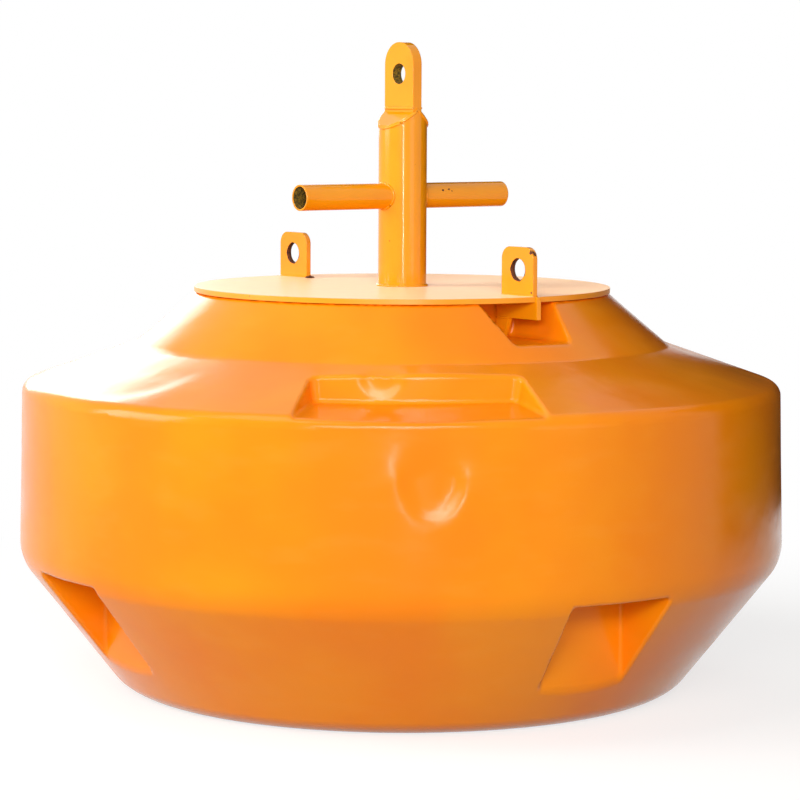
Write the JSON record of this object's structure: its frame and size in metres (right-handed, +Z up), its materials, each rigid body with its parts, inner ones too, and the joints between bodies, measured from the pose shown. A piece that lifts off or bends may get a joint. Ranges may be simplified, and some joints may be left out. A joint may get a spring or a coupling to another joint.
{
  "type": "mooring buoy with lifting lugs and crossbar post",
  "caption": "Moulded plastic mooring buoy with a steel deck plate, a crossbar post with a padeye on top, lifting lugs at the deck's rim and a mooring eye in its bottom recess.",
  "frame": {"origin": "centre of the hull's flat bottom", "axes": "+Z is up through the post; the lifting lugs stand on the Y axis and the crossbar lies along X"},
  "size_m": [1.8026, 1.802, 1.517],
  "materials": {
    "hull_polyethylene": "glossy rotationally moulded orange polyethylene, slightly uneven, with soft edges",
    "steelwork_paint": "gloss orange marine paint over steel plate and pipe, chipped at corners"
  },
  "bodies": {
    "root": {"hull": "hull_polyethylene", "deck_plate": "steelwork_paint", "post": "steelwork_paint", "post_cap_left": "steelwork_paint", "post_cap_right": "steelwork_paint", "crossbar": "steelwork_paint", "padeye": "steelwork_paint", "lug_near": "steelwork_paint", "lug_far": "steelwork_paint", "lug_foot_near": "steelwork_paint", "lug_foot_far": "steelwork_paint", "core_tube": "steelwork_paint", "bottom_plate": "steelwork_paint", "mooring_eye": "steelwork_paint"}
  },
  "joints": []
}
